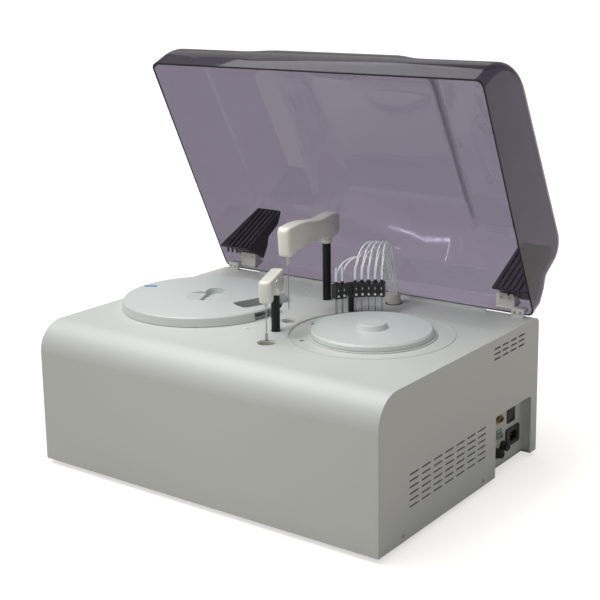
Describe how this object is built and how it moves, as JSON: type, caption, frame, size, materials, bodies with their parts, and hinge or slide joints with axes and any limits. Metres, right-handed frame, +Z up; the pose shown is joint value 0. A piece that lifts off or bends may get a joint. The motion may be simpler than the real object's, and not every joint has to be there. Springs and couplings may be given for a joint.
{
  "type": "benchtop chemistry analyzer",
  "caption": "Benchtop analyzer: white housing with rounded front edge, smoked hinged lid, two round covered discs, swinging probe and mixer arms, and a tubed wash station.",
  "frame": {"origin": "centre of the housing's footprint, on the plane that the feet stand on", "axes": "+X to the right as seen from the front, +Y to the rear, +Z up"},
  "size_m": [0.7028, 0.6428, 0.7078],
  "materials": {
    "housing_white": "satin",
    "cover_white": "satin",
    "bare_steel": "satin",
    "rubber": "matt",
    "screw_steel": "satin",
    "well_cream": "matt",
    "black_plastic": "satin",
    "rod_steel": "polished",
    "leaf_white": "satin",
    "port_gold": "satin",
    "port_green": "satin",
    "smoked": "polished",
    "tray_grey": "matt",
    "bottle_white": "satin",
    "bottle_cream": "satin",
    "clear_cell": "polished",
    "column_black": "anodised satin",
    "arm_cream": "satin",
    "white_plastic": "satin",
    "tube_white": "satin"
  },
  "bodies": {
    "housing": {"base_pan": "bare_steel", "rubber_feet": "rubber", "chassis": "bare_steel", "top_cover": "housing_white", "left_side": "housing_white", "right_side": "housing_white", "rear_panel": "housing_white", "rear_ledge": "housing_white", "panel_screws": "screw_steel", "reagent_pot": "bare_steel", "reaction_pot": "bare_steel", "wash_wells": "well_cream", "column_bushes": "black_plastic", "guide_rods": "rod_steel", "wash_post": "black_plastic", "tube_boss": "well_cream", "boss_ring": "black_plastic", "screw_caps": "cover_white", "deck_leaf_left": "leaf_white", "deck_leaf_right": "leaf_white", "deck_leaf_screws": "screw_steel", "hinge_pins": "screw_steel", "port_plate": "housing_white", "power_inlet": "black_plastic", "inlet_pins": "screw_steel", "switch_frame": "black_plastic", "signal_port_upper": "port_gold", "signal_port_lower": "port_green", "glands": "black_plastic"},
    "lid": {"lid_shell": "smoked", "lid_leaf_left": "leaf_white", "lid_leaf_right": "leaf_white", "lid_leaf_screws": "screw_steel", "bracket_left": "black_plastic", "bracket_right": "black_plastic"},
    "tray_lid": {"tray_cover": "cover_white"},
    "reaction_lid": {"reaction_cover": "cover_white"},
    "tray": {"reagent_tray": "tray_grey", "outer_bottles": "bottle_white", "inner_bottles": "bottle_cream", "outer_caps": "black_plastic", "inner_caps": "tray_grey"},
    "rotor": {"reaction_rotor": "black_plastic", "cuvettes": "clear_cell"},
    "probe_lift": {"probe_carriage": "tray_grey"},
    "probe": {"probe_column": "column_black", "probe_collar": "arm_cream", "probe_arm": "arm_cream", "probe_spigot": "white_plastic", "probe_needle": "rod_steel"},
    "mixer_lift": {"mixer_carriage": "tray_grey"},
    "mixer": {"mixer_column": "column_black", "mixer_arm": "arm_cream", "mixer_spigot": "white_plastic"},
    "paddle": {"mixer_paddle": "rod_steel"},
    "wash_head": {"wash_block": "black_plastic", "wash_screws": "white_plastic", "wash_needles": "rod_steel", "wash_tubes": "tube_white"},
    "switch": {"rocker": "black_plastic"}
  },
  "joints": [
    {"name": "lid_hinge", "type": "hinge", "parent": "housing", "child": "lid", "pos_m": [0, 0.249, 0.265], "axis": [-1, 0, 0], "range_deg": [-65, 3]},
    {"name": "tray_cover_lift", "type": "slide", "parent": "housing", "child": "tray_lid", "axis": [0, 0, 1], "range_m": [0, 0.08]},
    {"name": "reaction_cover_lift", "type": "slide", "parent": "housing", "child": "reaction_lid", "axis": [0, 0, 1], "range_m": [0, 0.05]},
    {"name": "reagent_tray_turn", "type": "hinge", "parent": "housing", "child": "tray", "pos_m": [-0.193, -0.002, 0.15], "axis": [0, 0, 1], "continuous": true},
    {"name": "reaction_disc_turn", "type": "hinge", "parent": "housing", "child": "rotor", "pos_m": [0.162, 0.013, 0.2], "axis": [0, 0, 1], "continuous": true},
    {"name": "probe_lift_slide", "type": "slide", "parent": "housing", "child": "probe_lift", "axis": [0, 0, 1], "range_m": [-0.062, 0]},
    {"name": "probe_swing", "type": "hinge", "parent": "probe_lift", "child": "probe", "pos_m": [-0.028, 0.151, 0.2], "axis": [0, 0, 1], "range_deg": [-33, 16.4]},
    {"name": "mixer_lift_slide", "type": "slide", "parent": "housing", "child": "mixer_lift", "axis": [0, 0, 1], "range_m": [-0.04, 0]},
    {"name": "mixer_swing", "type": "hinge", "parent": "mixer_lift", "child": "mixer", "pos_m": [0.017, -0.063, 0.2], "axis": [0, 0, 1], "range_deg": [0, 51.5]},
    {"name": "paddle_turn", "type": "hinge", "parent": "mixer", "child": "paddle", "pos_m": [0.04616, -0.12554, 0.3], "axis": [0, 0, 1], "continuous": true},
    {"name": "wash_lift_slide", "type": "slide", "parent": "housing", "child": "wash_head", "axis": [0, 0, 1], "range_m": [-0.022, 0], "deforming": ["wash_tubes"]},
    {"name": "power_switch", "type": "hinge", "parent": "housing", "child": "switch", "pos_m": [0.328, 0.194, 0.094], "axis": [0, -1, 0], "range_deg": [0, 12]}
  ]
}
